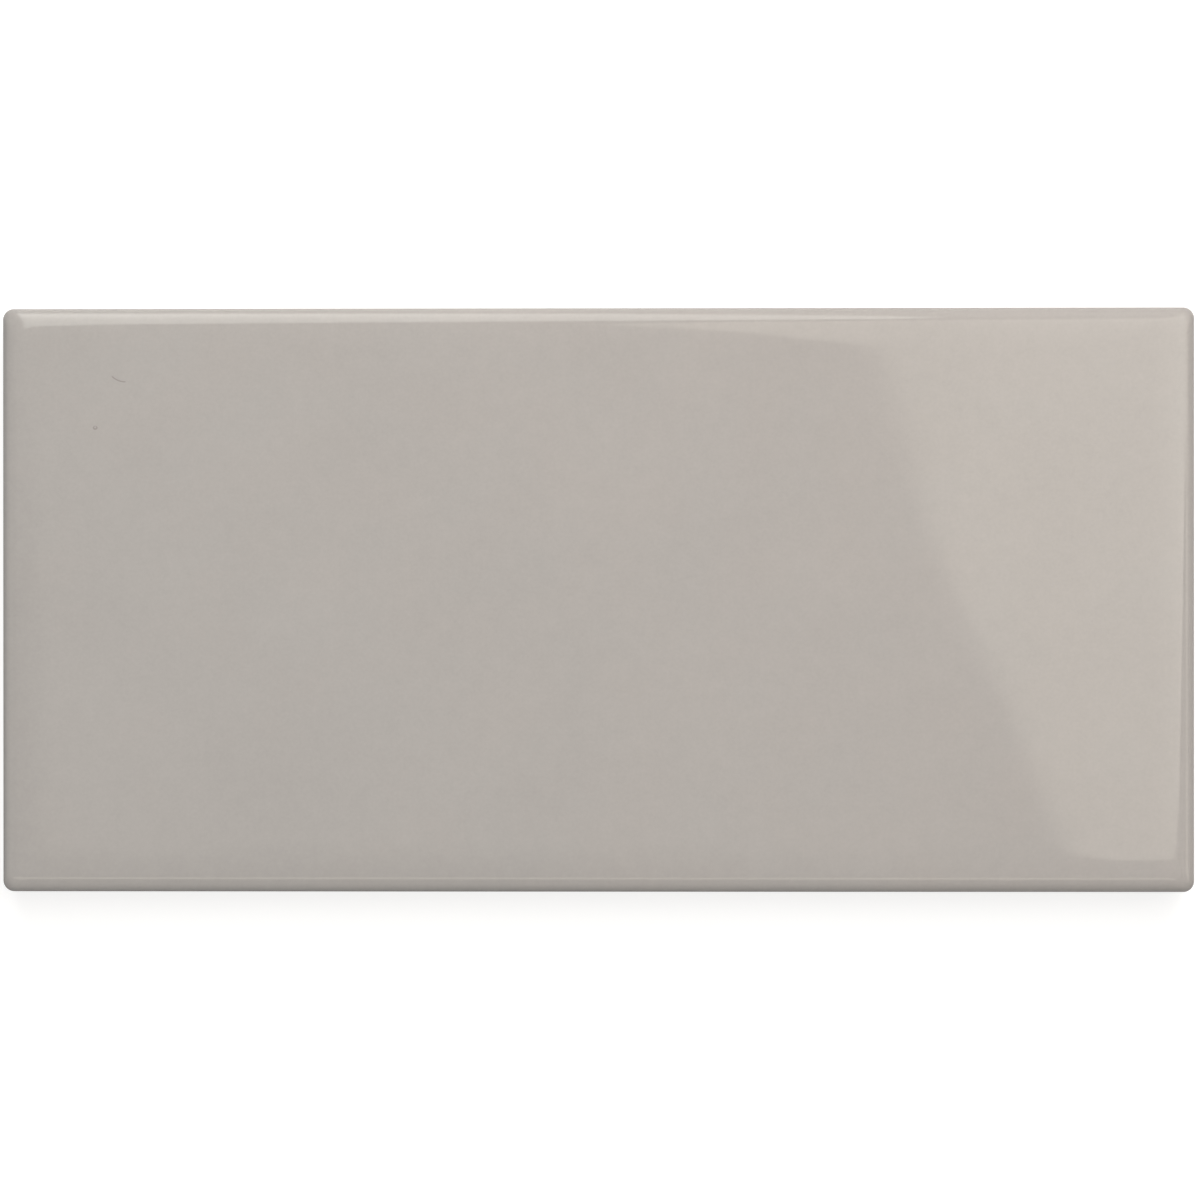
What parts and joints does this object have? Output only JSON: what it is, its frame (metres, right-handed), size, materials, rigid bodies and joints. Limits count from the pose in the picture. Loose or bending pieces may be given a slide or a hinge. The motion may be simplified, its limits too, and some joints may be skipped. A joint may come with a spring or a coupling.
{
  "type": "rectangular glazed ceramic wall tile",
  "caption": "Plain glossy warm-grey rectangular ceramic wall tile with softly rolled edges and an unglazed ribbed back that is bedded in adhesive.",
  "frame": {"origin": "the middle of the plane that the ribbed back rests on", "axes": "+X along the long side, +Y along the short side, +Z out of the glazed face"},
  "size_m": [0.149, 0.073, 0.008],
  "materials": {
    "glaze": "gloss"
  },
  "bodies": {
    "root": {"tile": "glaze"}
  },
  "joints": []
}
